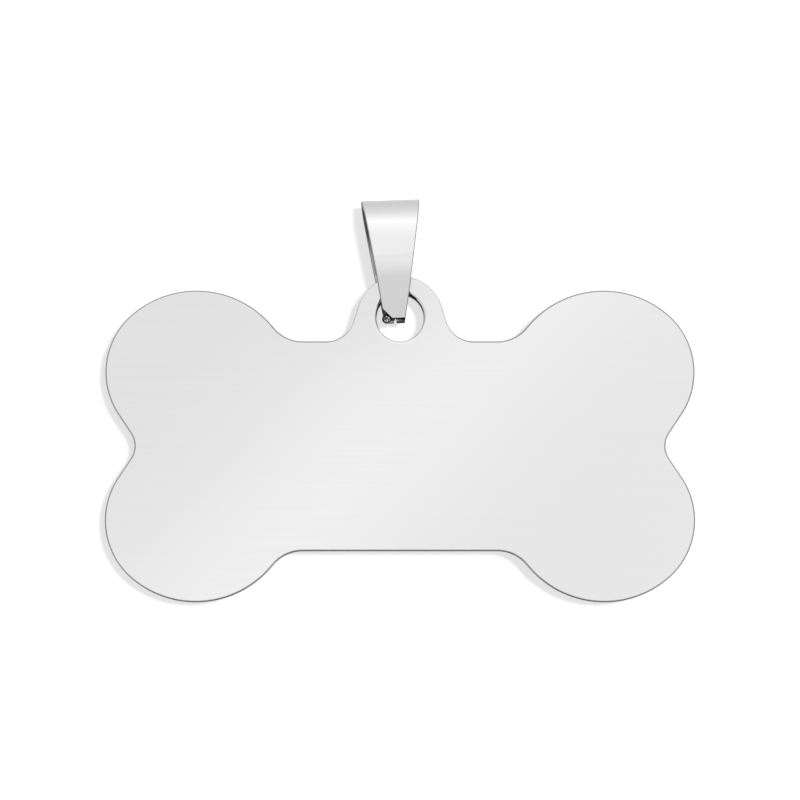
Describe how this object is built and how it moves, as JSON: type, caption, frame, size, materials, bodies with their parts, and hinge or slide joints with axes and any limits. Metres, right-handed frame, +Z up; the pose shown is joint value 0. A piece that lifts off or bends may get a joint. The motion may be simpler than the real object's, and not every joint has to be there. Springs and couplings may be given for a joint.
{
  "type": "pet id tag",
  "caption": "Flat bone-shaped polished steel pet tag with a top eyelet, swinging from a folded, tapered strip bail that hangs on a collar ring.",
  "frame": {"origin": "middle of the bail's fold, where a collar's ring passes through", "axes": "+X along the bone, +Y through the plate from its front face to its back, +Z up as the tag hangs"},
  "size_m": [0.05, 0.005, 0.0343],
  "materials": {
    "polished_plate": "mirror polished stainless steel",
    "polished_strip": "polished stainless steel strip",
    "weld": "dull weld metal"
  },
  "bodies": {
    "bail": {"bail_strip": "polished_strip", "weld_bead": "weld"},
    "tag": {"tag_plate": "polished_plate"}
  },
  "joints": [
    {"name": "tag_swing", "type": "hinge", "parent": "bail", "child": "tag", "pos_m": [0.00075, 0, -0.00764], "axis": [0, 1, 0], "range_deg": [-86, 76]}
  ]
}
